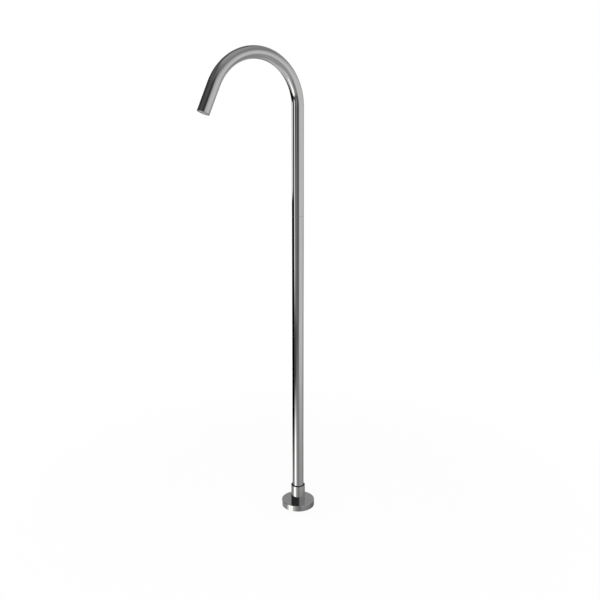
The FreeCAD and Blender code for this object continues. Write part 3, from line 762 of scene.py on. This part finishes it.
# --- Wiper ring ---------------------------------------------------------------------------------------------
# Moulded ring of black EPDM rubber in the collar's top, which keeps dirt out of the swivel. It stands 0.4 mm
# proud, with a softly rounded edge.
wiper_outline = [(12.58, 46.5, 0.1), (14.75, 46.5, 0.1), (14.75, 49.9, 0.3), (12.58, 49.9, 0.15)]
wiper = turned_piece("wiper_ring_moulded", wiper_outline, rubber)
finish_piece(wiper, "base", "black_rubber", "wiper_ring")

# --- Cover flange -------------------------------------------------------------------------------------------
# Chromed brass cup, spun and turned, that hides the plate and its screws and slides up the column to reach
# them. The outside is polished; the inside is as the plating bath leaves it, a satin grey. An O-ring in its
# bore grips the collar.
cover_outline = [
    (34.9, 0.0, 0.3), (36.5, 0.0, 0.3), (36.5, 13.5, 0.7), (15.7, 13.5, 0.2), (15.7, 11.9, 0.1),
    (17.3, 11.9, 0.1), (17.3, 9.8, 0.1), (15.7, 9.8, 0.1), (15.7, 8.5, 0.3), (19.1, 8.5, 0.3),
    (19.1, 11.9, 0.3), (34.9, 11.9, 0.8),
]
# Faces that lie both below this height and within this radius are inside, and satin
polish_foot = 13.2
polish_edge = 36.0

satin, tree, shader, place = new_finish("satin_chrome", {"Metallic": 1.0})
cloudy = lumps(tree, place, 8.0, detail=4.0)
mottle(tree, shader, cloudy, "#B5B5B6", "#C4C4C5")
roughen(tree, shader, cloudy, 0.24, 0.34)
dent(tree, shader, lumps(tree, place, 0.3), 0.004)

cover = turned_piece("cover_flange_cup", cover_outline, chrome)
cover.data.materials.append(satin)
for face in cover.data.polygons:
    across = math.hypot(face.center.x, face.center.y)
    if face.center.z < polish_foot * MM and across < polish_edge * MM:
        face.material_index = 1
finish_piece(cover, "cover", "polished_chrome", "cover_flange")
seal_ring("cover_oring", "cover", 15.63, 17.27, 9.9, 11.8)

# --- Riser tube ---------------------------------------------------------------------------------------------
# Straight drawn brass tube, 25 mm across with a 1.5 mm wall, polished and chromed. Its top edge is broken by a
# fine bevel, half of the hairline seam that shows round the column.
tube_radius = 12.5
tube_wall = 1.5
tube_bore = tube_radius - tube_wall
tube_foot = 40.1
seam_height = 665.5
seam_bevel = 0.25
riser_outline = [
    (tube_bore, tube_foot, 0.1), (tube_radius, tube_foot, 0.2),
    (tube_radius, seam_height, seam_bevel), (tube_bore, seam_height, 0.05),
]
riser = turned_piece("riser_tube_chromed", riser_outline, chrome)
finish_piece(riser, "spout", "polished_chrome", "riser_tube")

# --- Joint inside the seam ----------------------------------------------------------------------------------
# Brass bush brazed into the riser's top and brass nipple brazed into the spout tube's foot, screwed together,
# with an O-ring below the thread.
dress("joint_bush", brass)
dress("joint_nipple", brass)
seal_ring("joint_oring", "spout", 6.48, 7.97, 651.05, 652.95)

# --- Spout tube ---------------------------------------------------------------------------------------------
# The same tube again, bent cold round a 105 mm former to a gooseneck and then polished and chromed. It is
# swept along its own line: up, round the bend, and down to the outlet.
bend_radius = 105.0
bend_angle = math.radians(154.5)
bend_height = 886.5
outlet_run = 57.0
# The two straight parts of the line meet in a corner above the bend, which is then rounded off
bend_corner = bend_radius * math.tan(bend_angle / 2)
down = Vector((0.0, -math.sin(bend_angle), math.cos(bend_angle)))
seam_centre = Vector((0.0, 0.0, seam_height))
line_corner = Vector((0.0, 0.0, bend_height + bend_corner))
outlet_centre = line_corner + down * (bend_corner + outlet_run)

sizes = {
    "Radius": tube_radius * MM,
    "Bend radius": bend_radius * MM,
    "Bend steps": 110,
    "Sides": 128,
    "Chrome": chrome,
}
tree, size, names = new_tree("tube_bending", sizes)
line = add_node(tree, "GeometryNodeMeshToCurve", {"Mesh": size["Geometry"]})
bent = add_node(
    tree,
    "GeometryNodeFilletCurve",
    {"Curve": line.outputs[0], "Radius": size["Bend radius"], "Count": size["Bend steps"]},
    mode="POLY",
)
section = add_node(
    tree, "GeometryNodeCurvePrimitiveCircle", {"Resolution": size["Sides"], "Radius": size["Radius"]}
)
drawn = add_node(
    tree, "GeometryNodeCurveToMesh", {"Curve": bent.outputs[0], "Profile Curve": section.outputs[0]}
)
close_tree(tree, drawn.outputs[0], size["Chrome"])

line_mesh = bpy.data.meshes.new("spout_tube_bent")
line_mesh.from_pydata([seam_centre * MM, line_corner * MM, outlet_centre * MM], [(0, 1), (1, 2)], [])
spout = add_object("spout_tube_bent", line_mesh)
grow(spout, tree, names, sizes)
wall = spout.modifiers.new("wall", "SOLIDIFY")
wall.thickness = tube_wall * MM
wall.offset = -1.0
rims = spout.modifiers.new("rims", "BEVEL")
rims.width = seam_bevel * MM
rims.segments = 3
rims.limit_method = "ANGLE"
rims.angle_limit = math.radians(60)
settle(spout)
weigh = spout.modifiers.new("weigh", "WEIGHTED_NORMAL")
weigh.weight = 100
settle(spout)
finish_piece(spout, "spout", "polished_chrome", "spout_tube")

# --- Outlet bush --------------------------------------------------------------------------------------------
# Brass ring brazed flush into the outlet, threaded for the aerator. It is plated with the tube but, inside it,
# not polished.
dress("outlet_bush", satin)

# --- Aerator ------------------------------------------------------------------------------------------------
# Moulded in acetal, an even light grey with a dull sheen: a shell with eight notches for its key, and a
# honeycomb that straightens the jet. Behind them lie a pierced dome of stainless steel and a rubber washer.
grey, tree, shader, place = new_finish("moulded_grey_acetal", {"IOR": 1.48})
mottle(tree, shader, lumps(tree, place, 3.0, detail=3.0), "#BEBFBF", "#C7C8C8")
roughen(tree, shader, lumps(tree, place, 1.5), 0.34, 0.46)
dent(tree, shader, lumps(tree, place, 0.4), 0.006)
dress("aerator_housing", grey)
dress("jet_former", grey)
dress("flow_screen", steel)
dress("aerator_seal", nitrile)
